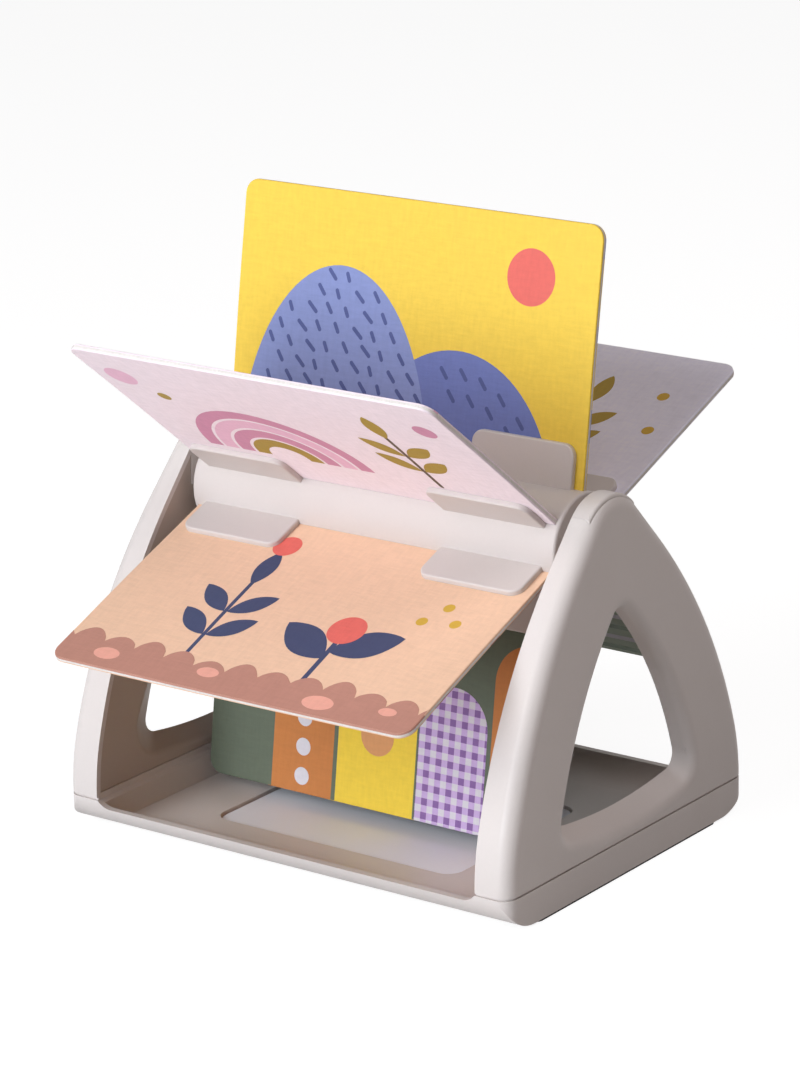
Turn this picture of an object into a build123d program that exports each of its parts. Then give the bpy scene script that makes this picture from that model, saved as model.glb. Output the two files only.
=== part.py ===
"""Page wheel: six board pages on a drum that turns between two A-shaped frames on a low tray.

X runs along the drum, Y from the front to the back and Z up. The origin is on the ground, midway
between the frames and straight below the drum.
"""

import os
from math import asin, atan2, cos, hypot, radians, sin, sqrt, tan

from build123d import *

os.makedirs("parts", exist_ok=True)

# Pages: boards that stand out from the drum, named in turn from the one that stands up
page_names = ["page_yellow", "page_pink", "page_peach", "page_green", "page_sage", "page_lilac"]
first_page_angle = 99.0
page_width = 170.0
page_length = 101.1
page_thickness = 2.4
page_corner = 6.0

# Drum: tube with a groove for each page and flat tabs that grip the page from both sides
drum_radius = 20.5
drum_wall = 2.5
drum_margin = 0.2
groove_depth = 1.0
grip_gap = 0.1
tab_width = 47.0
tab_length = 17.0
tab_thickness = 2.2
tab_corner = 5.0
tab_round = 0.8
tab_inset = 4.0

# Hubs: plug, flange, collar and the stub that turns in the seat
plug_depth = 9.0
plug_wall = 2.2
plug_gap = 0.1
flange_thickness = 1.8
flange_round = 1.2
collar_radius = 11.0
collar_length = 4.0
stub_radius = 6.0
stub_length = 8.0
stub_chamfer = 0.8
running_gap = 0.08
thrust_gap = 0.5

# Tray: flat floor with rounded ends that rise to the rails
foot_thickness = 1.2
rail_height = 13.1
base_half_depth = 81.5
end_reach = 17.0
corner_radius = 6.0
floor_thickness = 3.0
tip_gap = 3.0
tray_wall = 2.6
rail_slope = 3.5
rail_bevel = 1.4
lip_drop = 3.0
lip_inset = 0.3
lip_corner = 6.0

# Panel let into the floor
panel_width = 117.0
panel_margin = 21.5
panel_corner = 7.0
panel_forward = 7.0
panel_thickness = 0.8
panel_sink = 1.2
panel_gap = 0.8

# Rails: pockets from below between cross ribs, and a foot strip that covers them
rib_thickness = 2.0
rail_pockets = 4
pocket_margin = 11.5
strip_overlap = 6.0
strip_inset = 0.8
strip_corner = 3.0

# Side frames: hollow shells that get thinner towards the top, with a flared window
frame_thickness = 15.4
frame_top_thickness = 9.7
shell_wall = 2.4
rim_radius = 6.0
leg_length = 13.5
leg_lean_in = 18.2
shoulder_height = 89.1
round_share = 0.95
apex_margin = 1.2
shadow_gap = 0.9

# Window: throat between the two halves of the frame
throat_depth = 6.9
throat_inset = 38.0
throat_sill = 11.4
throat_sag = 4.0
throat_crown = 21.8
throat_bow = 6.0
throat_corner = 6.0
throat_top_round = 5.0

# Mouth of the window in the outer face
mouth_inset = 34.5
mouth_sill = 4.4
mouth_sag = 6.0
mouth_crown = 16.8
mouth_bow = 7.2
mouth_corner = 9.0
mouth_top_round = 7.0
mouth_round = 5.0

# Flare of the window in the inner face
flare_inset = 20.5
flare_sill = 5.6
flare_sag = 5.0
flare_crown = 10.0
flare_bow = 5.0
flare_corner = 13.0
flare_top_round = 12.0
flare_round = 3.0
funnel_wall = 2.0

# Inner covers, with the lower half of the axle seat
cover_recess = 0.5
cover_wall = 2.2
cover_gap = 0.15
saddle_height = 12.0

# Axle caps, with the upper half of the axle seat
cap_half_width = 15.0
cap_depth = 8.0
cap_gap = 0.12
cap_wall = 2.4
cap_round = 1.2

# Screws from below, through the rails into the frames
screw_inset = 14.0
screw_radius = 1.5
screw_grip = 14.0
screw_head_radius = 3.2
screw_head_height = 2.2
screw_gap = 0.1
driver_gap = 0.6
boss_wall = 2.6
boss_height = 13.0

# Heights
tray_bottom = foot_thickness
floor_top = tray_bottom + floor_thickness
seam_height = tray_bottom + rail_height
page_root = drum_radius - groove_depth
page_reach = page_root + page_length
axle_height = floor_top + tip_gap + page_reach
rail_ceiling = seam_height - shell_wall

# Stations along the drum, from the middle outwards
drum_half = page_width / 2 + drum_margin
flange_face = drum_half + flange_thickness
collar_face = flange_face + collar_length
inner_face = collar_face + thrust_gap
outer_face = inner_face + frame_thickness
cover_face = inner_face + cover_recess
throat_face = inner_face + throat_depth
screw_line = (inner_face + outer_face) / 2

# Stations along the depth, from the ends inwards
flat_half_depth = base_half_depth - end_reach
panel_depth = 2 * (flat_half_depth - panel_margin)
screw_offset = base_half_depth - screw_inset
pocket_span = 2 * (screw_offset - pocket_margin)
strip_half_length = pocket_span / 2 + strip_overlap
shoulder_half_depth = base_half_depth - leg_lean_in
throat_half_width = base_half_depth - throat_inset
mouth_half_width = base_half_depth - mouth_inset
flare_half_width = base_half_depth - flare_inset

# Frame outline: upright feet, bowed legs, and upper legs that touch the round top
apex_radius = drum_radius + apex_margin
frame_top = axle_height + apex_radius
leg_top = seam_height + leg_length
leg_rise = shoulder_height - leg_top
leg_run = base_half_depth - shoulder_half_depth
lower_lean = atan2(leg_run, leg_rise)
shoulder_drop = axle_height - shoulder_height
shoulder_to_axle = hypot(shoulder_half_depth, shoulder_drop)
upper_lean = atan2(shoulder_half_depth, shoulder_drop) - asin(apex_radius / shoulder_to_axle)
ridge_height = shoulder_height + shoulder_half_depth / tan(upper_lean)
leg_reach = round_share * leg_length
leg_round = leg_reach / tan(lower_lean / 2)
lower_straight = hypot(leg_run, leg_rise) - leg_reach
upper_straight = sqrt(shoulder_to_axle**2 - apex_radius**2)
shoulder_reach = round_share * min(lower_straight, upper_straight)
shoulder_round = shoulder_reach / tan((upper_lean - lower_lean) / 2)


def page_plane(angle):
    """Plane through the drum axis, with its Y axis along a page and 0 degrees at the front."""
    turn = radians(angle)
    return Plane(origin=(0, 0, axle_height), x_dir=(1, 0, 0), z_dir=(0, -sin(turn), -cos(turn)))


def window_outline(half_width, sill, sag, crown, bow, corner_round, top_round, grow=0.0):
    """Rounded triangle with bowed sides, grown on all sides.

    The sill is measured up from the seam and the crown down from the drum axis.
    """
    side_height = axle_height - crown - seam_height - sill - sag
    side_lean = atan2(half_width, side_height)
    half_bottom = half_width + grow * (tan(side_lean) + 1 / cos(side_lean))
    bottom = seam_height + sill - grow
    corner_height = bottom + sag
    top = axle_height - crown + grow / sin(side_lean)
    bulge_y = half_bottom / 2 + bow * cos(side_lean)
    bulge_z = (corner_height + top) / 2 + bow * sin(side_lean)
    with BuildSketch() as outline:
        with BuildLine():
            ThreePointArc((-half_bottom, corner_height), (0, bottom), (half_bottom, corner_height))
            ThreePointArc((half_bottom, corner_height), (bulge_y, bulge_z), (0, top))
            ThreePointArc((0, top), (-bulge_y, bulge_z), (-half_bottom, corner_height))
        make_face()
        fillet(outline.vertices().sort_by(Axis.Y)[-1], top_round + grow)
        fillet(outline.vertices().sort_by(Axis.Y)[:2], corner_round + grow)
    return outline.sketch


def throat_outline(grow=0.0):
    """Narrowest outline of the window."""
    return window_outline(
        throat_half_width,
        throat_sill,
        throat_sag,
        throat_crown,
        throat_bow,
        throat_corner,
        throat_top_round,
        grow,
    )


def mouth_outline(grow=0.0):
    """Outline of the window at the outer face."""
    return window_outline(
        mouth_half_width,
        mouth_sill,
        mouth_sag,
        mouth_crown,
        mouth_bow,
        mouth_corner,
        mouth_top_round,
        grow,
    )


def flare_outline(grow=0.0):
    """Outline of the window at the inner face."""
    return window_outline(
        flare_half_width,
        flare_sill,
        flare_sag,
        flare_crown,
        flare_bow,
        flare_corner,
        flare_top_round,
        grow,
    )


def frame_section(inset=0.0):
    """Upright section of a frame, whose outer side bows in towards the top."""
    foot = (outer_face - inset, seam_height)
    top = (inner_face + frame_top_thickness - inset, frame_top)
    with BuildSketch() as section:
        with BuildLine():
            TangentArc(foot, top, tangent=(0, 1))
            Polyline(top, (inner_face, frame_top), (inner_face, seam_height), foot)
        make_face()
    return section.sketch


def rounded_base(half_flat, half_depth, bottom, top):
    """Flat bottom whose ends rise in quarter ellipses."""
    reach = half_depth - half_flat
    rise = top - bottom
    with BuildSketch() as outline:
        with BuildLine():
            Line((-half_flat, bottom), (half_flat, bottom))
            EllipticalCenterArc((half_flat, top), reach, rise, start_angle=-90, arc_size=90)
            Line((half_depth, top), (-half_depth, top))
            EllipticalCenterArc((-half_flat, top), reach, rise, start_angle=180, arc_size=90)
        make_face()
    return outline.sketch


with BuildSketch() as frame_outline:
    with BuildLine():
        Polyline(
            (-base_half_depth, seam_height),
            (base_half_depth, seam_height),
            (base_half_depth, leg_top),
            (shoulder_half_depth, shoulder_height),
            (0, ridge_height),
            (-shoulder_half_depth, shoulder_height),
            (-base_half_depth, leg_top),
            close=True,
        )
    make_face()
    fillet(frame_outline.vertices().sort_by(Axis.Y)[-1], apex_radius)
    fillet(frame_outline.vertices().sort_by(Axis.Y)[4:6], shoulder_round)
    fillet(frame_outline.vertices().sort_by(Axis.Y)[2:4], leg_round)


# Tray
with BuildPart() as tray_well:
    with BuildSketch(Plane.YZ):
        add(rounded_base(flat_half_depth - tray_wall, base_half_depth - tray_wall, floor_top, seam_height))
    extrude(amount=inner_face, both=True)
    with BuildSketch(Plane.XZ):
        with BuildLine():
            Polyline(
                (-inner_face + rail_slope, floor_top),
                (inner_face - rail_slope, floor_top),
                (inner_face - rail_bevel, seam_height - rail_bevel),
                (inner_face, seam_height),
                (-inner_face, seam_height),
                (-inner_face + rail_bevel, seam_height - rail_bevel),
                close=True,
            )
        make_face()
    extrude(amount=base_half_depth, both=True, mode=Mode.INTERSECT)

with BuildPart() as base_tray:
    with BuildSketch(Plane.YZ):
        add(rounded_base(flat_half_depth, base_half_depth, tray_bottom, seam_height))
    extrude(amount=outer_face, both=True)
    with BuildSketch(Plane.XY):
        RectangleRounded(2 * outer_face, 2 * base_half_depth, corner_radius)
    extrude(amount=seam_height, mode=Mode.INTERSECT)
    add(tray_well.part, mode=Mode.SUBTRACT)
    # Lips lower than the rails, with ends that sweep up to the frames
    lip_end = inner_face - lip_inset
    lip_top = seam_height - lip_drop
    with BuildSketch(Plane.XZ):
        with BuildLine():
            TangentArc((lip_end - lip_corner, lip_top), (lip_end, seam_height), tangent=(1, 0))
            Line((lip_end, seam_height), (-lip_end, seam_height))
            TangentArc((lip_corner - lip_end, lip_top), (-lip_end, seam_height), tangent=(-1, 0))
            Line((lip_corner - lip_end, lip_top), (lip_end - lip_corner, lip_top))
        make_face()
    extrude(amount=base_half_depth, both=True, mode=Mode.SUBTRACT)
    # Recess for the panel
    with BuildSketch(Plane.XY.offset(floor_top)):
        with Locations((0, -panel_forward)):
            RectangleRounded(panel_width, panel_depth, panel_corner)
    extrude(amount=-(panel_thickness + panel_sink), mode=Mode.SUBTRACT)
    # Rail pockets, open below
    with BuildSketch(Plane.XY.offset(tray_bottom)):
        pocket_pitch = (pocket_span + rib_thickness) / rail_pockets
        with GridLocations(2 * screw_line, pocket_pitch, 2, rail_pockets):
            Rectangle(frame_thickness - 2 * tray_wall, pocket_pitch - rib_thickness)
    extrude(amount=rail_ceiling - tray_bottom, mode=Mode.SUBTRACT)
    # Screw wells and holes
    with BuildSketch(Plane.XY):
        with GridLocations(2 * screw_line, 2 * screw_offset, 2, 2):
            Circle(screw_head_radius + driver_gap)
    extrude(amount=rail_ceiling, mode=Mode.SUBTRACT)
    with BuildSketch(Plane.XY.offset(rail_ceiling)):
        with GridLocations(2 * screw_line, 2 * screw_offset, 2, 2):
            Circle(screw_radius + screw_gap)
    extrude(amount=shell_wall, mode=Mode.SUBTRACT)
base_tray.part.label = "base_tray"
export_step(base_tray.part, "parts/base_tray.step")

with BuildPart() as floor_panel:
    with BuildSketch(Plane.XY.offset(floor_top - panel_sink - panel_thickness)):
        with Locations((0, -panel_forward)):
            RectangleRounded(panel_width, panel_depth, panel_corner)
        offset(amount=-panel_gap, mode=Mode.REPLACE)
    extrude(amount=panel_thickness)
floor_panel.part.label = "floor_panel"
export_step(floor_panel.part, "parts/floor_panel.step")

with BuildPart() as right_foot_strip:
    with BuildSketch(Plane.XY):
        with Locations((screw_line, 0)):
            RectangleRounded(frame_thickness - 2 * strip_inset, 2 * strip_half_length, strip_corner)
    extrude(amount=foot_thickness)
right_foot_strip.part.label = "right_foot_strip"
export_step(right_foot_strip.part, "parts/right_foot_strip.step")

with BuildPart() as left_foot_strip:
    mirror(right_foot_strip.part, about=Plane.YZ)
left_foot_strip.part.label = "left_foot_strip"
export_step(left_foot_strip.part, "parts/left_foot_strip.step")

with BuildPart() as base_screws:
    with BuildSketch(Plane.XY.offset(rail_ceiling - screw_head_height)):
        with GridLocations(2 * screw_line, 2 * screw_offset, 2, 2):
            Circle(screw_head_radius)
    extrude(amount=screw_head_height)
    with BuildSketch(Plane.XY.offset(rail_ceiling)):
        with GridLocations(2 * screw_line, 2 * screw_offset, 2, 2):
            Circle(screw_radius)
    extrude(amount=screw_grip)
base_screws.part.label = "base_screws"
export_step(base_screws.part, "parts/base_screws.step")


# Side frames
with BuildPart() as frame_envelope:
    with BuildSketch(Plane.YZ.offset(inner_face)):
        add(frame_outline.sketch)
    extrude(amount=frame_thickness)
    with BuildSketch(Plane.XZ):
        add(frame_section())
    extrude(amount=base_half_depth, both=True, mode=Mode.INTERSECT)
    rim_edges = frame_envelope.faces().sort_by(Axis.X)[-1].edges()
    fillet(rim_edges.sort_by(Axis.Z)[1:], rim_radius)

with BuildPart() as frame_hollow:
    with BuildSketch(Plane.YZ.offset(inner_face)):
        add(frame_outline.sketch)
        offset(amount=-shell_wall, mode=Mode.REPLACE)
    extrude(amount=frame_thickness)
    with BuildSketch(Plane.XZ):
        add(frame_section(shell_wall))
    extrude(amount=base_half_depth, both=True, mode=Mode.INTERSECT)

with BuildPart() as funnel:
    with BuildSketch(Plane.YZ.offset(throat_face)):
        add(throat_outline(funnel_wall))
    with BuildSketch(Plane.YZ.offset(outer_face)):
        add(mouth_outline(funnel_wall))
    loft()
    add(frame_envelope.part, mode=Mode.INTERSECT)

with BuildPart() as right_side_frame:
    add(frame_envelope.part)
    add(frame_hollow.part, mode=Mode.SUBTRACT)
    add(funnel.part)
    # Window
    with BuildSketch(Plane.YZ.offset(throat_face)):
        add(throat_outline())
    with BuildSketch(Plane.YZ.offset(outer_face)):
        add(mouth_outline())
    loft(mode=Mode.SUBTRACT)
    mouth_edges = right_side_frame.faces().sort_by(Axis.X)[-1].inner_wires()[0].edges()
    fillet(mouth_edges, mouth_round)
    # Pocket in the rim for the axle cap
    with BuildSketch(Plane.YZ.offset(inner_face)):
        with Locations((0, axle_height + apex_radius)):
            Rectangle(2 * (cap_half_width + cap_gap), 2 * apex_radius)
    extrude(amount=cap_depth + cap_gap, mode=Mode.SUBTRACT)
    # Shadow gap above the rail
    with BuildSketch(Plane.XY.offset(seam_height)):
        with Locations((screw_line, 0)):
            Rectangle(frame_thickness + 2 * shadow_gap, 2 * (base_half_depth + shadow_gap))
        with Locations((screw_line - corner_radius, 0)):
            RectangleRounded(
                frame_thickness + 2 * corner_radius - 2 * shadow_gap,
                2 * (base_half_depth - shadow_gap),
                corner_radius - shadow_gap,
                mode=Mode.SUBTRACT,
            )
    extrude(amount=shadow_gap, mode=Mode.SUBTRACT)
    # Screw bosses
    with BuildSketch(Plane.XY.offset(seam_height)):
        with GridLocations(0, 2 * screw_offset, 1, 2):
            with Locations((screw_line, 0)):
                Circle(screw_radius + screw_gap + boss_wall)
    extrude(amount=boss_height)
    with BuildSketch(Plane.XY.offset(seam_height)):
        with GridLocations(0, 2 * screw_offset, 1, 2):
            with Locations((screw_line, 0)):
                Circle(screw_radius + screw_gap)
    extrude(amount=boss_height, mode=Mode.SUBTRACT)
right_side_frame.part.label = "right_side_frame"
export_step(right_side_frame.part, "parts/right_side_frame.step")

with BuildPart() as left_side_frame:
    mirror(right_side_frame.part, about=Plane.YZ)
left_side_frame.part.label = "left_side_frame"
export_step(left_side_frame.part, "parts/left_side_frame.step")


# Inner covers
with BuildPart() as right_inner_cover:
    with BuildSketch(Plane.YZ.offset(cover_face)):
        add(frame_outline.sketch)
        offset(amount=-(shell_wall + cover_gap), mode=Mode.REPLACE)
    extrude(amount=cover_wall)
    # Saddle under the stub
    with BuildSketch(Plane.YZ.offset(cover_face)):
        with Locations((0, axle_height - saddle_height / 2)):
            Rectangle(2 * cap_half_width, saddle_height)
    extrude(amount=inner_face + cap_depth - cover_face)
    # Inner half of the window
    with BuildSketch(Plane.YZ.offset(cover_face)):
        add(flare_outline(funnel_wall))
    with BuildSketch(Plane.YZ.offset(throat_face)):
        add(throat_outline(funnel_wall))
    loft()
    with BuildSketch(Plane.YZ.offset(cover_face)):
        add(flare_outline())
    with BuildSketch(Plane.YZ.offset(throat_face)):
        add(throat_outline())
    loft(mode=Mode.SUBTRACT)
    flare_edges = right_inner_cover.faces().sort_by(Axis.X)[0].inner_wires()[0].edges()
    fillet(flare_edges, flare_round)
    # Way in for the stub and the cap above it
    with BuildSketch(Plane.YZ.offset(cover_face)):
        with Locations((0, axle_height + apex_radius)):
            Rectangle(2 * (cap_half_width + cap_gap), 2 * apex_radius)
        with Locations((0, axle_height)):
            Circle(stub_radius + running_gap)
    extrude(amount=cap_depth, mode=Mode.SUBTRACT)
right_inner_cover.part.label = "right_inner_cover"
export_step(right_inner_cover.part, "parts/right_inner_cover.step")

with BuildPart() as left_inner_cover:
    mirror(right_inner_cover.part, about=Plane.YZ)
left_inner_cover.part.label = "left_inner_cover"
export_step(left_inner_cover.part, "parts/left_inner_cover.step")


# Axle caps
with BuildPart() as right_axle_cap:
    with BuildSketch(Plane.YZ.offset(inner_face)):
        with Locations((0, axle_height)):
            Circle(apex_radius)
        with Locations((0, axle_height + apex_radius / 2)):
            Rectangle(2 * cap_half_width, apex_radius, mode=Mode.INTERSECT)
        with Locations((0, axle_height)):
            Circle(stub_radius + running_gap, mode=Mode.SUBTRACT)
    extrude(amount=cap_depth)
    # Hollows on both sides of the seat, open to the outer side
    hollow_width = cap_half_width - stub_radius - running_gap - 2 * cap_wall
    with BuildSketch(Plane.YZ.offset(inner_face + cap_depth)):
        with Locations((0, axle_height + cap_wall + hollow_width / 2)):
            with GridLocations(2 * (cap_half_width - cap_wall) - hollow_width, 0, 2, 1):
                Rectangle(hollow_width, hollow_width)
    extrude(amount=-(cap_depth - cap_wall), mode=Mode.SUBTRACT)
    crown_edges = right_axle_cap.edges().group_by(Axis.Z)[-1]
    fillet(crown_edges.sort_by(Axis.X)[-1], cap_round)
right_axle_cap.part.label = "right_axle_cap"
export_step(right_axle_cap.part, "parts/right_axle_cap.step")

with BuildPart() as left_axle_cap:
    mirror(right_axle_cap.part, about=Plane.YZ)
left_axle_cap.part.label = "left_axle_cap"
export_step(left_axle_cap.part, "parts/left_axle_cap.step")


# Drum with its tabs
axle_line = Plane(origin=(0, 0, axle_height), x_dir=(0, 1, 0), z_dir=(1, 0, 0))
page_angles = [first_page_angle - 360 / len(page_names) * turn for turn in range(len(page_names))]
slot_half = page_thickness / 2 + grip_gap
bore_radius = drum_radius - drum_wall
tab_root = page_root - grip_gap
tab_reach = drum_radius + tab_length
tab_middle = page_width / 2 - tab_inset - tab_width / 2

with BuildPart() as tab_pair:
    with BuildSketch() as tab_outline:
        with Locations((0, (tab_root + tab_reach) / 2)):
            Rectangle(tab_width, tab_reach - tab_root)
        fillet(tab_outline.vertices().group_by(Axis.Y)[-1], tab_corner)
    extrude(amount=slot_half + tab_thickness, both=True)
    fillet(tab_pair.edges().group_by(Axis.Z)[0], tab_round)
    fillet(tab_pair.edges().group_by(Axis.Z)[-1], tab_round)

with BuildPart() as drum:
    with BuildSketch(axle_line):
        Circle(drum_radius)
        Circle(bore_radius, mode=Mode.SUBTRACT)
    extrude(amount=drum_half, both=True)
    for angle in page_angles:
        with Locations(page_plane(angle)):
            with GridLocations(2 * tab_middle, 0, 2, 1):
                add(tab_pair.part)
    for angle in page_angles:
        with BuildSketch(page_plane(angle)):
            with Locations((0, page_root + page_length / 2)):
                Rectangle(2 * drum_half, page_length)
        extrude(amount=slot_half, both=True, mode=Mode.SUBTRACT)
drum.part.label = "drum"
export_step(drum.part, "parts/drum.step")


# Hubs
with BuildPart() as right_hub:
    with BuildSketch(axle_line.offset(drum_half - plug_depth)):
        Circle(bore_radius - plug_gap)
        Circle(bore_radius - plug_gap - plug_wall, mode=Mode.SUBTRACT)
    extrude(amount=plug_depth)
    with BuildSketch(axle_line.offset(drum_half)):
        Circle(drum_radius)
    extrude(amount=flange_thickness)
    fillet(right_hub.faces().sort_by(Axis.X)[-1].edges(), flange_round)
    with BuildSketch(axle_line.offset(flange_face)):
        Circle(collar_radius)
    extrude(amount=collar_length)
    with BuildSketch(axle_line.offset(collar_face)):
        Circle(stub_radius)
    extrude(amount=stub_length)
    chamfer(right_hub.faces().sort_by(Axis.X)[-1].edges(), stub_chamfer)
right_hub.part.label = "right_hub"
export_step(right_hub.part, "parts/right_hub.step")

with BuildPart() as left_hub:
    mirror(right_hub.part, about=Plane.YZ)
left_hub.part.label = "left_hub"
export_step(left_hub.part, "parts/left_hub.step")


# Pages
for page_name, angle in zip(page_names, page_angles):
    with BuildPart() as page:
        with BuildSketch(page_plane(angle)) as board:
            with Locations((0, page_root + page_length / 2)):
                Rectangle(page_width, page_length)
            fillet(board.vertices().group_by(Axis.Y)[-1], page_corner)
        extrude(amount=page_thickness / 2, both=True)
    page.part.label = page_name
    export_step(page.part, f"parts/{page_name}.step")
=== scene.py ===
"""Page wheel in a white studio: six printed boards on a drum between two moulded side frames."""

import logging
import math
from collections.abc import Iterable
from dataclasses import dataclass, field
from enum import Enum
from typing import ClassVar

import bmesh
import bpy
from mathutils import Matrix, Vector


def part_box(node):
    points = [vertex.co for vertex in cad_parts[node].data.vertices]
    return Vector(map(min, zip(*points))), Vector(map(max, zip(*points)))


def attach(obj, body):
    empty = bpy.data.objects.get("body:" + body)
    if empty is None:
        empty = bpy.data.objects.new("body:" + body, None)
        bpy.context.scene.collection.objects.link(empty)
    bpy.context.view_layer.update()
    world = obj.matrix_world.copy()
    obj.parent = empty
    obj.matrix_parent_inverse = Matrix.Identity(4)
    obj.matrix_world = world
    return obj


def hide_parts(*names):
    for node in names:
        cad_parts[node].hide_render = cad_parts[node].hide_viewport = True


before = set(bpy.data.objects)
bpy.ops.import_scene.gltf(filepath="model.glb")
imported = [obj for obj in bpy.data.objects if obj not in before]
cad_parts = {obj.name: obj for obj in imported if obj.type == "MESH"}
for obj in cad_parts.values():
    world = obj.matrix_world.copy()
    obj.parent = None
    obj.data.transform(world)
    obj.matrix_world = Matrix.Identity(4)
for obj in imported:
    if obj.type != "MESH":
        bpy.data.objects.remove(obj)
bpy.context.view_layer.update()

LOG = logging.getLogger("page_wheel")
MM = 0.001
PLACE_MAP = "page_place"
BUMP_STRENGTH = 0.5

Point = tuple[float, float]
Colour = tuple[float, float, float, float]

WHITE: Colour = (1.0, 1.0, 1.0, 1.0)

# Lines outside every board, in a picture's millimetres. Print may run out to them before it is cut.
PAST_SIDE = 90.0
PAST_TOP = 110.0
PAST_FOOT = -2.0


class Ink(Enum):
    """Colours of the boards and of their print, as red, green and blue from 0 to 255."""

    SUN = (237, 201, 75)
    PERIWINKLE = (132, 144, 193)
    SLATE_BLUE = (108, 120, 178)
    DUSK = (78, 88, 140)
    CORAL = (224, 106, 96)
    BLUSH = (230, 166, 148)
    ROSE = (243, 229, 236)
    MAUVE = (206, 142, 170)
    PALE_MAUVE = (232, 186, 208)
    OLIVE = (168, 140, 56)
    UMBER = (98, 78, 62)
    PEACH = (232, 193, 163)
    CLAY = (183, 132, 116)
    NAVY = (62, 70, 102)
    MOSS = (98, 107, 90)
    FERN = (104, 122, 94)
    ORANGE = (196, 124, 66)
    APRICOT = (214, 152, 100)
    GRAIN = (238, 204, 66)
    LILAC = (200, 172, 216)
    PLUM = (136, 100, 158)
    MIST = (216, 212, 218)
    LAVENDER = (243, 240, 255)
    SAGE = (160, 172, 148)
    MUSTARD = (206, 166, 62)


class Face(Enum):
    """The two printed faces of a board.

    On LEADING the picture stands on the drum, and on TRAILING it hangs.
    """

    LEADING = 1
    TRAILING = -1


class Side(Enum):
    """The two ends of the drum."""

    LEFT = "left"
    RIGHT = "right"


def linear(rgb: tuple[float, float, float]) -> Colour:
    """Turns a colour from 0 to 255 into the linear colour that shaders read.

    Args:
        rgb: Red, green and blue as they show on a screen.

    Returns:
        Linear red, green, blue and an alpha of 1.
    """
    parts: list[float] = []
    for value in rgb:
        share = value / 255
        parts.append(share / 12.92 if share <= 0.04045 else ((share + 0.055) / 1.055) ** 2.4)
    return (parts[0], parts[1], parts[2], 1.0)


class ShaderSketch:
    """Short way to lay out the nodes of one material, world or node group."""

    def __init__(self, tree: bpy.types.NodeTree) -> None:
        """Starts on an emptied node tree."""
        self.tree = tree
        tree.nodes.clear()

    def node(
        self, kind: str, values: dict[str, object] | None = None, **settings: object
    ) -> bpy.types.Node:
        """Adds a node.

        Args:
            kind: Blender's name of the node's class.
            values: Input sockets by name, each with a plain value or a socket to link.
            **settings: Properties of the node itself.

        Returns:
            The new node.
        """
        made = self.tree.nodes.new(kind)
        for name, setting in settings.items():
            setattr(made, name, setting)
        for name, value in (values or {}).items():
            self.feed(made.inputs[name], value)
        return made

    def feed(self, socket: bpy.types.NodeSocket, value: object) -> None:
        """Links a socket into an input, or sets the input's value.

        Args:
            socket: Input to fill.
            value: Socket to link, or a plain value.
        """
        if isinstance(value, bpy.types.NodeSocket):
            self.tree.links.new(value, socket)
        else:
            socket.default_value = value

    def math(
        self, operation: str, first: object, second: object = 0.0, third: object = 0.0
    ) -> bpy.types.NodeSocket:
        """Adds a calculation with up to three numbers.

        Args:
            operation: Name of the Math node's operation.
            first: Number or socket.
            second: Number or socket.
            third: Number or socket.

        Returns:
            The result's socket.
        """
        made = self.tree.nodes.new("ShaderNodeMath")
        made.operation = operation
        for socket, value in zip(made.inputs, (first, second, third)):
            self.feed(socket, value)
        return made.outputs[0]

    def noise(
        self, place: bpy.types.NodeSocket, scale: object, detail: float, rough: float
    ) -> bpy.types.NodeSocket:
        """Adds a noise texture.

        Args:
            place: Coordinates in metres.
            scale: Features to the metre.
            detail: Number of finer octaves.
            rough: Strength of the finer octaves.

        Returns:
            The noise value's socket, about 0.5 on average.
        """
        made = self.node(
            "ShaderNodeTexNoise", {"Vector": place, "Scale": scale, "Detail": detail, "Roughness": rough}
        )
        return made.outputs["Fac"]

    def scaled(self, colour: object, factor: bpy.types.NodeSocket) -> bpy.types.NodeSocket:
        """Brightens or darkens a colour by a factor.

        Args:
            colour: Colour or socket.
            factor: Socket of the factor.

        Returns:
            The new colour's socket.
        """
        made = self.node("ShaderNodeVectorMath", {"Scale": factor}, operation="SCALE")
        self.feed(made.inputs[0], colour)
        return made.outputs[0]

    def surface(self, grain: bpy.types.Node, relief: float, shine: float) -> None:
        """Adds the surface's shader, fed from a grain group.

        Args:
            grain: Node of the group.
            relief: Height of the grain in metres.
            shine: Specular level.
        """
        bump = self.node(
            "ShaderNodeBump",
            {"Height": grain.outputs["Height"], "Strength": BUMP_STRENGTH, "Distance": relief},
        )
        shader = self.node(
            "ShaderNodeBsdfPrincipled",
            {
                "Base Color": grain.outputs["Colour"],
                "Roughness": grain.outputs["Roughness"],
                "Normal": bump.outputs["Normal"],
                "Specular IOR Level": shine,
            },
        )
        self.node("ShaderNodeOutputMaterial", {"Surface": shader.outputs["BSDF"]})


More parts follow.
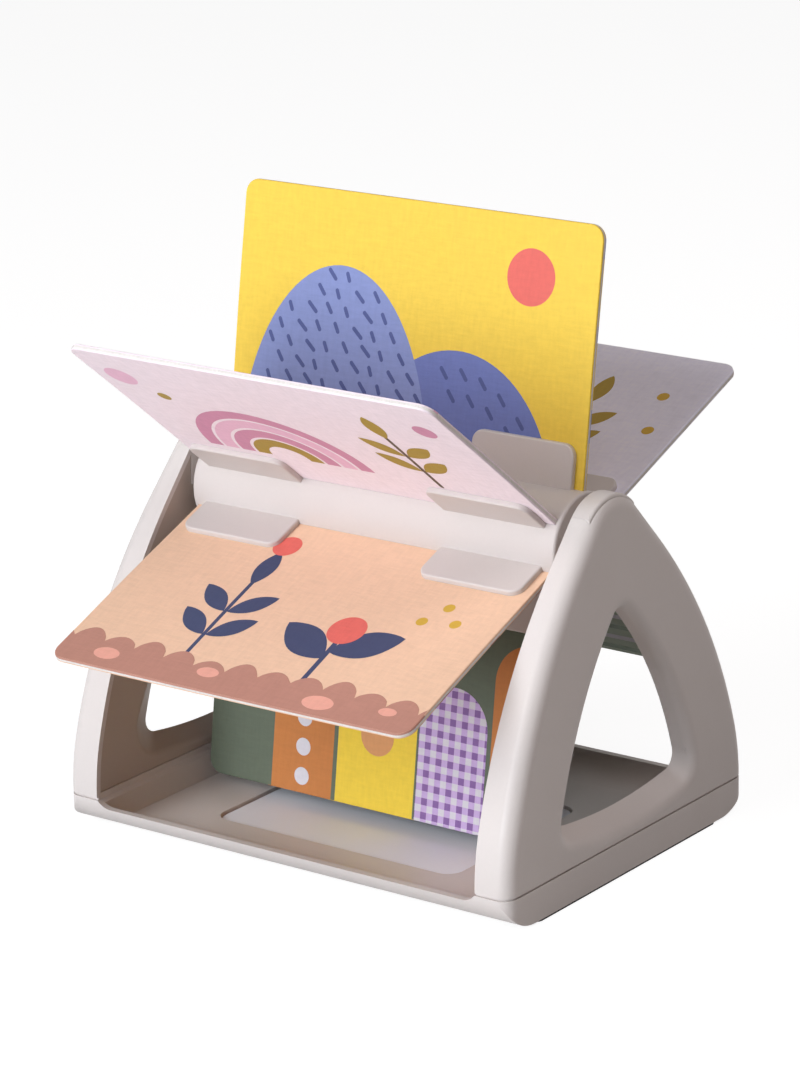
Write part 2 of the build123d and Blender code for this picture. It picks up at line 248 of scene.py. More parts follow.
class GrainGroups:
    """Shader node groups that several finishes share.

    A noise is given as its features to the metre, its finer octaves and their strength.
    """

    MOULD_CLOUD = (26.0, 3.0, 0.5)
    MOULD_SPECK = (900.0, 1.0, 0.5)
    MOULD_RUB = (75.0, 4.0, 0.6)
    TOOTH_OCTAVES = (2.0, 0.55)
    SPECK_SHARE = 0.6
    MOULD_MEAN = 0.8
    NOISE_MEAN = 0.5
    RUB_SWING = 0.22

    PAPER_FIBRE = (2600.0, 2.0, 0.6)
    PAPER_CLOUD = (34.0, 4.0, 0.6)
    THREAD_OCTAVES = (3.0, 0.6)
    THREAD_RUNS = ((1.0, 0.22, 1.0), (0.22, 1.0, 1.0))
    THREAD_CONTRAST = 1.6
    FIBRE_SHARE = 0.35
    HEIGHT_SHADE = 0.7
    CLOUD_SHADE = 0.5
    PAPER_MEAN = 0.72
    PAPER_ROUGH = 0.5
    PAPER_ROUGH_SWING = 0.2

    def __init__(self) -> None:
        """Builds the groups once."""
        self.moulded = self._moulded()
        self.paper = self._paper()

    @staticmethod
    def _start(
        name: str, inputs: Iterable[tuple[str, str]]
    ) -> tuple[bpy.types.NodeTree, ShaderSketch, bpy.types.Node]:
        """Starts a group that puts out a colour, a roughness and a height.

        Args:
            name: Name of the group.
            inputs: Name and socket type of each input.

        Returns:
            The group, its sketch and its input node.
        """
        tree = bpy.data.node_groups.new(name, "ShaderNodeTree")
        for label, kind in inputs:
            tree.interface.new_socket(label, in_out="INPUT", socket_type=kind)
        tree.interface.new_socket("Colour", in_out="OUTPUT", socket_type="NodeSocketColor")
        tree.interface.new_socket("Roughness", in_out="OUTPUT", socket_type="NodeSocketFloat")
        tree.interface.new_socket("Height", in_out="OUTPUT", socket_type="NodeSocketFloat")
        sketch = ShaderSketch(tree)
        return tree, sketch, sketch.node("NodeGroupInput")

    def _moulded(self) -> bpy.types.NodeTree:
        """Builds the grain of a moulded surface: cloudy colour, rubbed patches and a fine etched tooth.

        Returns:
            The node group.
        """
        tree, sketch, given = self._start(
            "moulded_grain",
            [
                ("Place", "NodeSocketVector"),
                ("Tint", "NodeSocketColor"),
                ("Mottle", "NodeSocketFloat"),
                ("Satin", "NodeSocketFloat"),
                ("Tooth", "NodeSocketFloat"),
            ],
        )
        place = given.outputs["Place"]
        cloud = sketch.noise(place, *self.MOULD_CLOUD)
        speck = sketch.noise(place, *self.MOULD_SPECK)
        shade = sketch.math("ADD", cloud, sketch.math("MULTIPLY", speck, self.SPECK_SHARE))
        uneven = sketch.math("SUBTRACT", shade, self.MOULD_MEAN)
        swing = sketch.math("MULTIPLY", uneven, given.outputs["Mottle"])
        tint = sketch.scaled(given.outputs["Tint"], sketch.math("ADD", 1.0, swing))
        rubbed = sketch.noise(place, *self.MOULD_RUB)
        polish = sketch.math("SUBTRACT", rubbed, self.NOISE_MEAN)
        satin = sketch.math("MULTIPLY_ADD", polish, self.RUB_SWING, given.outputs["Satin"])
        tooth = sketch.noise(place, given.outputs["Tooth"], *self.TOOTH_OCTAVES)
        sketch.node("NodeGroupOutput", {"Colour": tint, "Roughness": satin, "Height": tooth})
        return tree

    def _paper(self) -> bpy.types.NodeTree:
        """Builds the grain of printed board: crossed, uneven threads, fibres and slightly uneven ink.

        Returns:
            The node group.
        """
        tree, sketch, given = self._start(
            "paper_grain",
            [
                ("Place", "NodeSocketVector"),
                ("Ink", "NodeSocketColor"),
                ("Threads", "NodeSocketFloat"),
                ("Fade", "NodeSocketFloat"),
            ],
        )
        place = given.outputs["Place"]
        threads: list[bpy.types.NodeSocket] = []
        for run in self.THREAD_RUNS:
            drawn = sketch.node("ShaderNodeVectorMath", operation="MULTIPLY")
            sketch.feed(drawn.inputs[0], place)
            sketch.feed(drawn.inputs[1], run)
            threads.append(sketch.noise(drawn.outputs[0], given.outputs["Threads"], *self.THREAD_OCTAVES))
        crossed = sketch.math("SUBTRACT", sketch.math("ADD", threads[0], threads[1]), 2 * self.NOISE_MEAN)
        linen = sketch.math("MULTIPLY_ADD", crossed, self.THREAD_CONTRAST, self.NOISE_MEAN)
        fibre = sketch.noise(place, *self.PAPER_FIBRE)
        height = sketch.math("MULTIPLY_ADD", fibre, self.FIBRE_SHARE, linen)
        cloud = sketch.noise(place, *self.PAPER_CLOUD)
        clouded = sketch.math("MULTIPLY", cloud, self.CLOUD_SHADE)
        shade = sketch.math("MULTIPLY_ADD", height, self.HEIGHT_SHADE, clouded)
        uneven = sketch.math("SUBTRACT", shade, self.PAPER_MEAN)
        swing = sketch.math("MULTIPLY", uneven, given.outputs["Fade"])
        colour = sketch.scaled(given.outputs["Ink"], sketch.math("ADD", 1.0, swing))
        rough = sketch.math("MULTIPLY_ADD", cloud, self.PAPER_ROUGH_SWING, self.PAPER_ROUGH)
        sketch.node("NodeGroupOutput", {"Colour": colour, "Roughness": rough, "Height": height})
        return tree


@dataclass(frozen=True)
class MouldedFinish:
    """Injection-moulded plastic or rubber with a fine etched surface."""

    rgb: tuple[float, float, float]
    satin: float = 0.45
    mottle: float = 0.05
    tooth: float = 2400.0
    relief: float = 0.00002
    shine: float = 0.4

    def make(self, name: str, groups: GrainGroups) -> bpy.types.Material:
        """Makes the material.

        Args:
            name: Name of the material.
            groups: Shared node groups.

        Returns:
            The new material.
        """
        material = bpy.data.materials.new(name)
        material.use_nodes = True
        sketch = ShaderSketch(material.node_tree)
        place = sketch.node("ShaderNodeTexCoord").outputs["Object"]
        values = {
            "Place": place,
            "Tint": linear(self.rgb),
            "Mottle": self.mottle,
            "Satin": self.satin,
            "Tooth": self.tooth,
        }
        grain = sketch.node("ShaderNodeGroup", values, node_tree=groups.moulded)
        sketch.surface(grain, self.relief, self.shine)
        return material


@dataclass(frozen=True)
class PaperFinish:
    """Printed and laminated board with a linen-like surface."""

    rgb: tuple[float, float, float]
    threads: float = 620.0
    fade: float = 0.15
    relief: float = 0.00012
    shine: float = 0.3

    def make(self, name: str, groups: GrainGroups) -> bpy.types.Material:
        """Makes the material.

        Args:
            name: Name of the material.
            groups: Shared node groups.

        Returns:
            The new material.
        """
        material = bpy.data.materials.new(name)
        material.use_nodes = True
        sketch = ShaderSketch(material.node_tree)
        place = sketch.node("ShaderNodeUVMap", uv_map=PLACE_MAP).outputs["UV"]
        values = {
            "Place": place,
            "Ink": linear(self.rgb),
            "Threads": self.threads,
            "Fade": self.fade,
        }
        grain = sketch.node("ShaderNodeGroup", values, node_tree=groups.paper)
        sketch.surface(grain, self.relief, self.shine)
        return material


class FinishShelf:
    """Materials of the whole toy, made when first asked for."""

    MOULDED: dict[str, MouldedFinish] = {
        "frame_plastic": MouldedFinish((214, 206, 202)),
        # The inner covers take the frames' plastic made darker and warmer. This is painted shade for the
        # shaded inner faces of the frames.
        "cover_plastic_painted_shade": MouldedFinish((187, 173, 163)),
        # The wheel's plastic is set a little darker than the frames'. This is painted shade from the
        # pages that hang over the drum.
        "wheel_plastic_with_painted_shade": MouldedFinish((204, 195, 191)),
        "floor_film": MouldedFinish((240, 243, 252), satin=0.6, mottle=0.04, tooth=3800.0, shine=0.2),
        "foot_rubber": MouldedFinish(
            (46, 44, 43), satin=0.8, mottle=0.3, tooth=1500.0, relief=0.00008, shine=0.2
        ),
        "screw_steel": MouldedFinish((150, 150, 152), satin=0.35, mottle=0.1, tooth=5000.0, shine=0.6),
    }

    CORE = PaperFinish((226, 219, 214), threads=900.0, fade=0.3, relief=0.0001, shine=0.15)

    def __init__(self) -> None:
        """Starts with the shared node groups and no materials."""
        self.groups = GrainGroups()
        self.made: dict[str, bpy.types.Material] = {}

    def _take(self, name: str, finish: MouldedFinish | PaperFinish) -> bpy.types.Material:
        """Gives the material of a name, made from the finish the first time.

        Args:
            name: Name of the material.
            finish: What it is made from.

        Returns:
            The material.
        """
        if name not in self.made:
            self.made[name] = finish.make(name, self.groups)
        return self.made[name]

    def moulded(self, name: str) -> bpy.types.Material:
        """Gives a moulded finish by its name."""
        return self._take(name, self.MOULDED[name])

    def paper(self, ink: Ink) -> bpy.types.Material:
        """Gives printed board in one ink."""
        return self._take(f"print_{ink.name.lower()}", PaperFinish(ink.value))

    def core(self) -> bpy.types.Material:
        """Gives the bare cut edge of the board."""
        return self._take("board_core", self.CORE)


def dress(node: str, material: bpy.types.Material) -> None:
    """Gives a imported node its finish.

    Args:
        node: Name of the node.
        material: Finish for all its faces.
    """
    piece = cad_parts[node]
    if not piece.material_slots:
        piece.data.materials.append(material)
    for slot in piece.material_slots:
        slot.material = material
    LOG.info("dressed %s in %s", node, material.name)


@dataclass(frozen=True)
class Patch:
    """One field of colour of a picture."""

    outline: list[Point]
    ink: Ink
    layer: int


def clipped(outline: list[Point], keep: list[Point]) -> list[Point]:
    """Cuts an outline to a convex window.

    Args:
        outline: Corners of the shape.
        keep: Corners of the window, anticlockwise.

    Returns:
        Corners of what lies inside the window.
    """
    kept = list(outline)
    for (ax, ay), (bx, by) in zip(keep, keep[1:] + keep[:1]):
        source, kept = kept, []
        for (px, py), (qx, qy) in zip(source, source[1:] + source[:1]):
            p_side = (bx - ax) * (py - ay) - (by - ay) * (px - ax)
            q_side = (bx - ax) * (qy - ay) - (by - ay) * (qx - ax)
            if p_side >= 0:
                kept.append((px, py))
            if p_side * q_side < 0:
                share = p_side / (p_side - q_side)
                kept.append((px + share * (qx - px), py + share * (qy - py)))
        if len(kept) < 3:
            return []
    return kept


def encloses(outline: list[Point], x: float, y: float) -> bool:
    """Tells whether a point lies inside an outline.

    Args:
        outline: Corners of the shape.
        x: Place across.
        y: Place up.

    Returns:
        True if it does.
    """
    inside = False
    for (x0, y0), (x1, y1) in zip(outline, outline[1:] + outline[:1]):
        if (y0 > y) != (y1 > y) and x < x0 + (x1 - x0) * (y - y0) / (y1 - y0):
            inside = not inside
    return inside


def oval(x: float, y: float, wide: float, high: float, steps: int = 56) -> list[Point]:
    """Outline of an oval.

    Args:
        x: Middle across.
        y: Middle up.
        wide: Half width.
        high: Half height.
        steps: Number of corners.

    Returns:
        Corners, anticlockwise.
    """
    turns = [2 * math.pi * k / steps for k in range(steps)]
    return [(x + wide * math.cos(t), y + high * math.sin(t)) for t in turns]


def block(left: float, low: float, right: float, top: float) -> list[Point]:
    """Gives the corners of an upright rectangle, anticlockwise."""
    return [(left, low), (right, low), (right, top), (left, top)]


def arch(x: float, wide: float, high: float, steps: int = 28) -> list[Point]:
    """Outline of an upright arch that stands on the lower edge.

    Args:
        x: Middle across.
        wide: Half width.
        high: Height of its crown.
        steps: Number of steps in its round top.

    Returns:
        Corners, anticlockwise.
    """
    turns = [math.pi * k / steps for k in range(steps + 1)]
    crown = [(x + wide * math.cos(t), high - wide + wide * math.sin(t)) for t in turns]
    return [(x - wide, PAST_FOOT), (x + wide, PAST_FOOT), *crown]


def leaf(x: float, y: float, long: float, wide: float, lean: float, steps: int = 14) -> list[Point]:
    """Outline of a pointed leaf.

    Args:
        x: Foot of the leaf across.
        y: Foot of the leaf up.
        long: Length.
        wide: Width.
        lean: Direction that it points in, in degrees from the right.
        steps: Number of steps along each edge.

    Returns:
        Corners, anticlockwise.
    """
    fullness = 0.8
    turn = math.radians(lean)
    shares = [k / steps for k in range(steps + 1)]
    lower = [(s * long, -wide / 2 * math.sin(math.pi * s) ** fullness) for s in shares]
    upper = [(s * long, wide / 2 * math.sin(math.pi * s) ** fullness) for s in shares[-2:0:-1]]
    return [
        (x + a * math.cos(turn) - b * math.sin(turn), y + a * math.sin(turn) + b * math.cos(turn))
        for a, b in lower + upper
    ]


def bar(x0: float, y0: float, x1: float, y1: float, wide: float, steps: int = 6) -> list[Point]:
    """Outline of a straight stroke with round ends.

    Args:
        x0: Start across.
        y0: Start up.
        x1: End across.
        y1: End up.
        wide: Width of the stroke.
        steps: Number of steps in each round end.

    Returns:
        Corners, anticlockwise.
    """
    heading = math.atan2(y1 - y0, x1 - x0)
    turns = [math.pi * k / steps - math.pi / 2 for k in range(steps + 1)]
    far = [(x1 + wide / 2 * math.cos(heading + t), y1 + wide / 2 * math.sin(heading + t)) for t in turns]
    near = [(x0 - wide / 2 * math.cos(heading + t), y0 - wide / 2 * math.sin(heading + t)) for t in turns]
    return far + near


@dataclass
class Picture:
    """Print of one face of a board, in millimetres from the middle of the picture's lower edge."""

    STROKE: ClassVar[float] = 1.7

    ground: Ink
    width: float = 170.0
    height: float = 101.1
    patches: list[Patch] = field(default_factory=list)

    def lay(self, ink: Ink, outline: list[Point], layer: int = 0) -> list[Point]:
        """Adds one field of colour and gives its outline back."""
        self.patches.append(Patch(outline, ink, layer))
        return outline

    def within(self, ink: Ink, outline: list[Point], region: list[Point], layer: int) -> None:
        """Adds a field of colour cut to a convex region.

        Args:
            ink: Colour of the field.
            outline: Corners of the field.
            region: Outline to stay inside.
            layer: Layer of the print.
        """
        kept = clipped(outline, region)
        if kept:
            self.lay(ink, kept, layer)

    def ink_at(self, x: float, y: float) -> Ink:
        """Finds the ink on top at one point.

        Args:
            x: Millimetres across from the middle.
            y: Millimetres up from the picture's lower edge.

        Returns:
            The ink of the highest field there, or the ground's.
        """
        found, level = self.ground, -1
        for patch in self.patches:
            if patch.layer >= level and encloses(patch.outline, x, y):
                found, level = patch.ink, patch.layer
        return found

    def dashes(
        self, ink: Ink, region: list[Point], layer: int, pitch: float = 9.0, lean: float = -55.0
    ) -> None:
        """Scatters short strokes over a convex region, in rows that are set off from each other.

        Args:
            ink: Colour of the strokes.
            region: Outline to stay inside.
            layer: Layer of the print.
            pitch: Distance from stroke to stroke.
            lean: Direction of the strokes in degrees.
        """
        xs = [x for x, _ in region]
        ys = [y for _, y in region]
        left, foot = min(xs), max(min(ys), 0.0)
        rise = pitch * 0.8
        drift_x, drift_y, drift_lean = 0.9, 0.7, 14.0
        half_long, half_swing = 1.9, 0.5
        rows = int((max(ys) - foot) / rise)
        columns = int((max(xs) - left) / pitch) + 1
        for row in range(rows + 1):
            for column in range(columns + 1):
                sway = math.sin(12.9 * row + 4.1 * column)
                nod = math.cos(7.7 * column + row)
                x = left + (column + 0.5 * (row % 2)) * pitch + drift_x * sway
                y = foot + (row + 0.5) * rise + drift_y * nod
                turn = math.radians(lean + drift_lean * sway)
                reach = half_long + half_swing * sway
                across, up = reach * math.cos(turn), reach * math.sin(turn)
                stroke = bar(x - across, y - up, x + across, y + up, self.STROKE)
                if clipped(stroke, region) == stroke:
                    self.lay(ink, stroke, layer)

    def gingham(self, pale: Ink, deep: Ink, region: list[Point], layer: int, pitch: float) -> None:
        """Fills a convex region with crossed stripes.

        Args:
            pale: Colour of the stripes.
            deep: Colour where they cross.
            region: Outline to fill.
            layer: Lowest of the three layers that it takes.
            pitch: Distance from stripe to stripe.
        """
        columns = [k * pitch for k in range(int(-PAST_SIDE / pitch), int(PAST_SIDE / pitch) + 1)]
        rows = [(k + 0.5) * pitch for k in range(int(self.height / pitch) + 1)]
        half = pitch / 4
        for x in columns:
            self.within(pale, block(x - half, PAST_FOOT, x + half, PAST_TOP), region, layer)
        for y in rows:
            self.within(pale, block(-PAST_SIDE, y - half, PAST_SIDE, y + half), region, layer + 1)
            for x in columns:
                self.within(deep, block(x - half, y - half, x + half, y + half), region, layer + 2)

    def scallops(self, ink: Ink, high: float, pitch: float, deep: float, layer: int) -> None:
        """Adds a band along the lower edge with a scalloped top.

        Args:
            ink: Colour of the band.
            high: Height of the valleys between the scallops.
            pitch: Width of a scallop.
            deep: Height of a scallop over its valleys.
            layer: Layer of the print.
        """
        steps = 12
        fullness = 0.7
        swell_swing, valley_swing = 0.22, 1.2
        count = int(self.width / pitch) + 2
        start = -count * pitch / 2
        top: list[Point] = []
        for k in range(count):
            swell = 1 + swell_swing * math.sin(2.3 * k)
            valley = valley_swing * math.sin(0.9 * k)
            for step in range(steps):
                share = step / steps
                rise = deep * swell * math.sin(math.pi * share) ** fullness if step else 0.0
                top.append((start + (k + share) * pitch, high + rise + valley))
        self.lay(ink, [(start, PAST_FOOT), (-start, PAST_FOOT), *reversed(top)], layer)

    def rainbow(self, inks: list[Ink], x: float, y: float, outer: float, band: float) -> None:
        """Adds half rings, one inside the other.

        Args:
            inks: Colours from the outer ring inwards.
            x: Middle across.
            y: Height of the feet.
            outer: Outer radius.
            band: Width of a ring and of the narrow space inside it.
        """
        steps = 30
        inked = 0.82
        turns = [math.pi * k / steps for k in range(steps + 1)]
        for ring, ink in enumerate(inks):
            far = outer - ring * band
            near = far - band * inked
            rim = [(x + far * math.cos(t), y + far * math.sin(t)) for t in turns]
            hollow = [(x + near * math.cos(t), y + near * math.sin(t)) for t in reversed(turns)]
            self.lay(ink, rim + hollow)

    def sprig(self, ink: Ink, stem: Ink, x: float, y: float, high: float, pairs: int = 2) -> None:
        """Adds an upright stem with pairs of leaves and one leaf on top.

        Args:
            ink: Colour of the leaves.
            stem: Colour of the stem.
            x: Foot across.
            y: Foot up.
            high: Length of the stem.
            pairs: Number of pairs of leaves.
        """
        stem_width, stem_side = 1.8, 0.8
        lowest, spread, tip = 0.3, 0.58, 0.94
        leaf_share, lean, upward = 0.42, 38, 90
        self.lay(stem, bar(x, y, x, y + high, stem_width))
        long = high * leaf_share
        wide = long * leaf_share
        for pair in range(pairs):
            root = y + high * (lowest + spread * pair / pairs)
            self.lay(ink, leaf(x + stem_side, root, long, wide, lean), 1)
            self.lay(ink, leaf(x - stem_side, root, long, wide, 180 - lean), 1)
        self.lay(ink, leaf(x, y + high * tip, long, wide, upward), 1)

    def dots(self, inks: list[Ink], pitch: float, radius: float) -> None:
        """Covers the face with rows of dots that are set off from each other.

        Args:
            inks: Colours in turn.
            pitch: Distance from dot to dot.
            radius: Radius of a dot.
        """
        rows = int(self.height / pitch) + 1
        columns = int(self.width / pitch) + 1
        for row in range(rows):
            for column in range(-columns // 2, columns // 2 + 1):
                x = (column + 0.5 * (row % 2)) * pitch
                y = (row + 0.5) * pitch
                self.lay(inks[(row + column) % len(inks)], oval(x, y, radius, radius, 28))

    def stripes(self, inks: list[Ink], pitch: float, share: float) -> None:
        """Covers the face with level stripes.

        Args:
            inks: Colours in turn.
            pitch: Distance from stripe to stripe.
            share: Part of the pitch that a stripe takes.
        """
        for row in range(int(self.height / pitch) + 1):
            low = (row + 0.5 - share / 2) * pitch
            self.lay(inks[row % len(inks)], block(-PAST_SIDE, low, PAST_SIDE, low + share * pitch))


class PictureBook:
    """Designs the twelve pictures of the boards."""

    @staticmethod
    def hills() -> Picture:
        """Dashed hills under a round sun.

        Returns:
            The picture.
        """
        page = Picture(Ink.SUN)
        page.lay(Ink.CORAL, oval(54, 78, 11, 11))
        page.lay(Ink.SLATE_BLUE, oval(24, -14, 48, 60, 90))
        front = page.lay(Ink.PERIWINKLE, oval(-34, -8, 46, 80, 90), 1)
        page.dashes(Ink.DUSK, front, 2)
        for row in range(2):
            for stroke in range(5):
                x = 16 + 4 * row + 9.2 * stroke
                y = 39 - 9 * row - 0.016 * (x - 22) ** 2
                page.lay(Ink.DUSK, bar(x, y, x + 2.6, y - 3.4, Picture.STROKE), 1)
        return page

    @staticmethod
    def meadow() -> Picture:
        """Half rings beside a leafy sprig.

        Returns:
            The picture.
        """
        page = Picture(Ink.ROSE)
        page.rainbow([Ink.MAUVE, Ink.PALE_MAUVE, Ink.MAUVE, Ink.OLIVE], -26, 22, 40, 8)
        page.sprig(Ink.OLIVE, Ink.UMBER, 44, 20, 46)
        page.lay(Ink.MAUVE, oval(70, 78, 5, 5))
        page.lay(Ink.PALE_MAUVE, oval(-72, 80, 7, 7))
        page.lay(Ink.OLIVE, oval(-60, 66, 3, 3))
        return page

    @staticmethod
    def garden() -> Picture:
        """Tall seedlings over a scalloped bed.

        Returns:
            The picture.
        """
        page = Picture(Ink.PEACH)
        page.sprig(Ink.NAVY, Ink.NAVY, -30, 14, 50)
        page.lay(Ink.CORAL, oval(-30, 86, 6, 6), 2)
        page.lay(Ink.NAVY, bar(26, 14, 26, 40, 2.2))
        page.lay(Ink.NAVY, leaf(26, 34, 30, 15, 30), 1)
        page.lay(Ink.NAVY, leaf(26, 30, 30, 15, 150), 1)
        page.lay(Ink.CORAL, oval(26, 47, 8, 8), 2)
        page.scallops(Ink.CLAY, 13, 15, 5.5, 3)
        for x, y, wide in ((-62, 8, 6), (-14, 10, 5), (40, 7, 7), (70, 10, 4)):
            page.lay(Ink.BLUSH, oval(x, y, wide, wide * 0.55, 32), 4)
        for x, y in ((58, 70), (66, 62), (52, 60)):
            page.lay(Ink.MUSTARD, oval(x, y, 2.4, 2.4, 24))
        return page

    @staticmethod
    def patchwork() -> Picture:
        """Arches like patches of cloth.

        Returns:
            The picture.
        """
        page = Picture(Ink.MOSS)
        page.lay(Ink.ORANGE, arch(-38, 15, 60))
        for row in range(4):
            page.lay(Ink.MIST, oval(-38, 7 + 12 * row, 3.6, 3.6, 28), 1)
        page.lay(Ink.GRAIN, arch(-2, 19, 70))
        page.lay(Ink.APRICOT, oval(-2, 30, 8, 8), 1)
        check = page.lay(Ink.MIST, arch(34, 16, 56))
        page.gingham(Ink.LILAC, Ink.PLUM, check, 1, 5.6)
        page.lay(Ink.ORANGE, arch(68, 16, 78))
        for row in range(6):
            page.lay(Ink.MIST, oval(68, 7 + 12 * row, 3.6, 3.6, 28), 1)
        return page

    @staticmethod
    def twigs() -> Picture:
        """Sprigs and small dots.

        Returns:
            The picture.
        """
        page = Picture(Ink.LAVENDER)
        page.sprig(Ink.OLIVE, Ink.UMBER, 38, 22, 44)
        page.sprig(Ink.OLIVE, Ink.UMBER, -48, 20, 40)
        for x, y in ((66, 74), (72, 52), (-8, 70), (4, 46), (-76, 72)):
            page.lay(Ink.MUSTARD, oval(x, y, 2.6, 2.6, 24))
        return page

    @staticmethod
    def dotted(ground: Ink, inks: list[Ink], pitch: float = 17.0, radius: float = 4.2) -> Picture:
        """Plain ground with rows of dots.

        Args:
            ground: Colour of the ground.
            inks: Colours of the dots in turn.
            pitch: Distance from dot to dot.
            radius: Radius of a dot.

        Returns:
            The picture.
        """
        page = Picture(ground)
        page.dots(inks, pitch, radius)
        return page

    @staticmethod
    def striped(ground: Ink, inks: list[Ink], pitch: float = 12.6, share: float = 0.4) -> Picture:
        """Plain ground with level stripes.

        Args:
            ground: Colour of the ground.
            inks: Colours of the stripes in turn.
            pitch: Distance from stripe to stripe.
            share: Part of the pitch that a stripe takes.

        Returns:
            The picture.
        """
        page = Picture(ground)
        page.stripes(inks, pitch, share)
        return page

    @staticmethod
    def orchard() -> Picture:
        """Round trees in a row.

        Returns:
            The picture.
        """
        page = Picture(Ink.SAGE)
        trees = ((-62, 58, Ink.FERN), (-22, 70, Ink.MOSS), (20, 54, Ink.FERN), (60, 66, Ink.MOSS))
        for x, high, ink in trees:
            page.lay(Ink.UMBER, bar(x, 4, x, high - 8, 3.0))
            page.lay(ink, oval(x, high, 15, 18), 1)
            for step in (-1, 0, 1):
                page.lay(Ink.APRICOT, oval(x + 6 * step, high + 8 * step, 2.0, 2.0, 24), 2)
        page.scallops(Ink.FERN, 8, 24, 4, 3)
        return page


@dataclass
class BoardPage:
    """One board of the wheel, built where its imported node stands, with its sizes in millimetres."""

    FACE_ON: ClassVar[float] = 0.98
    MERGE: ClassVar[float] = 0.0001
    CUT: ClassVar[float] = 0.00001

    name: str
    leading: Picture
    trailing: Picture
    curl: float = 0.0
    bow: float = 0.0
    twist: float = 0.0
    corner: float = 6.0
    edge_round: float = 0.3
    edge_drop: float = 0.72
    edge_bulge: float = 0.29
    bleed: float = 0.6
    flat_root: float = 20.0
    bow_rest: float = 0.4
    cell: float = 6.0
    first_lift: float = 0.02
    layer_lift: float = 0.02
    sharp_angle: float = 15.0
    half_width: float = field(init=False, default=0.0)
    half_thick: float = field(init=False, default=0.0)
    length: float = field(init=False, default=0.0)
    root: float = field(init=False, default=0.0)
    axle: Vector = field(init=False, default_factory=Vector)
    outward: Vector = field(init=False, default_factory=Vector)
    normal: Vector = field(init=False, default_factory=Vector)

    def measure(self) -> None:
        """Reads the board's place, size and direction from its node."""
        axle = self._axle()
        corners = [v.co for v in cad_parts[self.name].data.vertices]
        middle = sum(corners, Vector()) / len(corners)
        outward = Vector((0.0, middle.y - axle.y, middle.z - axle.z)).normalized()
        normal = Vector((1, 0, 0)).cross(outward)
        reaches = [(c - axle).dot(outward) for c in corners]
        depths = [(c - axle).dot(normal) for c in corners]
        self.half_width = max(c.x for c in corners) / MM
        self.root = min(reaches) / MM
        self.length = (max(reaches) - min(reaches)) / MM
        self.half_thick = (max(depths) - min(depths)) / 2 / MM
        self.axle, self.outward, self.normal = axle, outward, normal

    @staticmethod
    def _axle() -> Vector:
        """Finds the drum's axis from a hub's box.

        Returns:
            The axis's point midway between the side frames.
        """
        low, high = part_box("right_hub")
        middle = (low + high) / 2
        return Vector((0.0, middle.y, middle.z))

    def place(self, u: float, v: float, w: float) -> Vector:
        """Puts a point of the flat board on the slightly curled one.

        Args:
            u: Millimetres across from the middle.
            v: Millimetres out from the root.
            w: Millimetres from the middle of the board's thickness.

        Returns:
            The point in the shared frame, in metres.
        """
        share = min(max((v - self.flat_root) / (self.length - self.flat_root), 0.0), 1.0)
        ramp = share * share * (3 - 2 * share)
        across = u / self.half_width
        lift = self.curl * ramp * ramp + self.twist * across * ramp
        lift += self.bow * (across * across - self.bow_rest) * ramp
        radial = self.root + v
        return self.axle + (Vector((u, 0, 0)) + self.outward * radial + self.normal * (w + lift)) * MM

    def outline(self, inset: float, steps: int = 8) -> list[Point]:
        """Outline of the board with its two outer corners rounded.

        Args:
            inset: Distance in from the cut edge.
            steps: Number of steps in each corner.

        Returns:
            Corners, anticlockwise, as distances across and out.
        """
        wide, far = self.half_width - inset, self.length - inset
        radius = self.corner - inset
        turns = [math.pi / 2 * k / steps for k in range(steps + 1)]
        x, y = wide - radius, far - radius
        right = [(x + radius * math.cos(t), y + radius * math.sin(t)) for t in turns]
        left = [(-u, v) for u, v in reversed(right)]
        return [(-wide, inset), (wide, inset), *right, *left]

    def build(self, shelf: FinishShelf) -> None:
        """Builds the board with both prints and puts it in its node's place.

        Args:
            shelf: Finishes.
        """
        self.measure()
        inks = [self.leading.ground, self.trailing.ground]
        for picture in (self.leading, self.trailing):
            inks += [patch.ink for patch in picture.patches]
        order = list(dict.fromkeys(inks))
        work = bmesh.new()
        self._slab(work, order)
        self._print(work, self.leading, Face.LEADING, order)
        self._print(work, self.trailing, Face.TRAILING, order)
        self._divide(work)
        self._wrap(work, order)
        mesh = self._finish(work, shelf, order)
        board = bpy.data.objects.new(f"{self.name}_board", mesh)
        bpy.context.scene.collection.objects.link(board)
        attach(board, "wheel")
        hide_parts(self.name)
        LOG.info("built %s with %d faces", board.name, len(mesh.polygons))

    def _slab(self, work: bmesh.types.BMesh, order: list[Ink]) -> None:
        """Adds the flat board with softened edges.

        Args:
            work: Mesh under construction.
            order: Inks in the order of the material slots, after the core.
        """
        inset, drop, thick = self.edge_round, self.edge_drop, self.half_thick
        bulge = self.edge_bulge
        profile = [(inset, thick), (inset * bulge, thick - drop * bulge), (0.0, thick - drop)]
        profile += [(inwards, -w) for inwards, w in reversed(profile)]
        upper_coat = 1 + order.index(self.leading.ground)
        lower_coat = 1 + order.index(self.trailing.ground)
        coats = (upper_coat, upper_coat, 0, lower_coat, lower_coat)
        rings: list[list[bmesh.types.BMVert]] = []
        for inwards, w in profile:
            rings.append([work.verts.new((u, v, w)) for u, v in self.outline(inwards)])
        for upper, lower, coat in zip(rings, rings[1:], coats):
            for k in range(len(upper)):
                nxt = (k + 1) % len(upper)
                work.faces.new((upper[nxt], upper[k], lower[k], lower[nxt])).material_index = coat
        work.faces.new(rings[0]).material_index = upper_coat
        work.faces.new(list(reversed(rings[-1]))).material_index = lower_coat

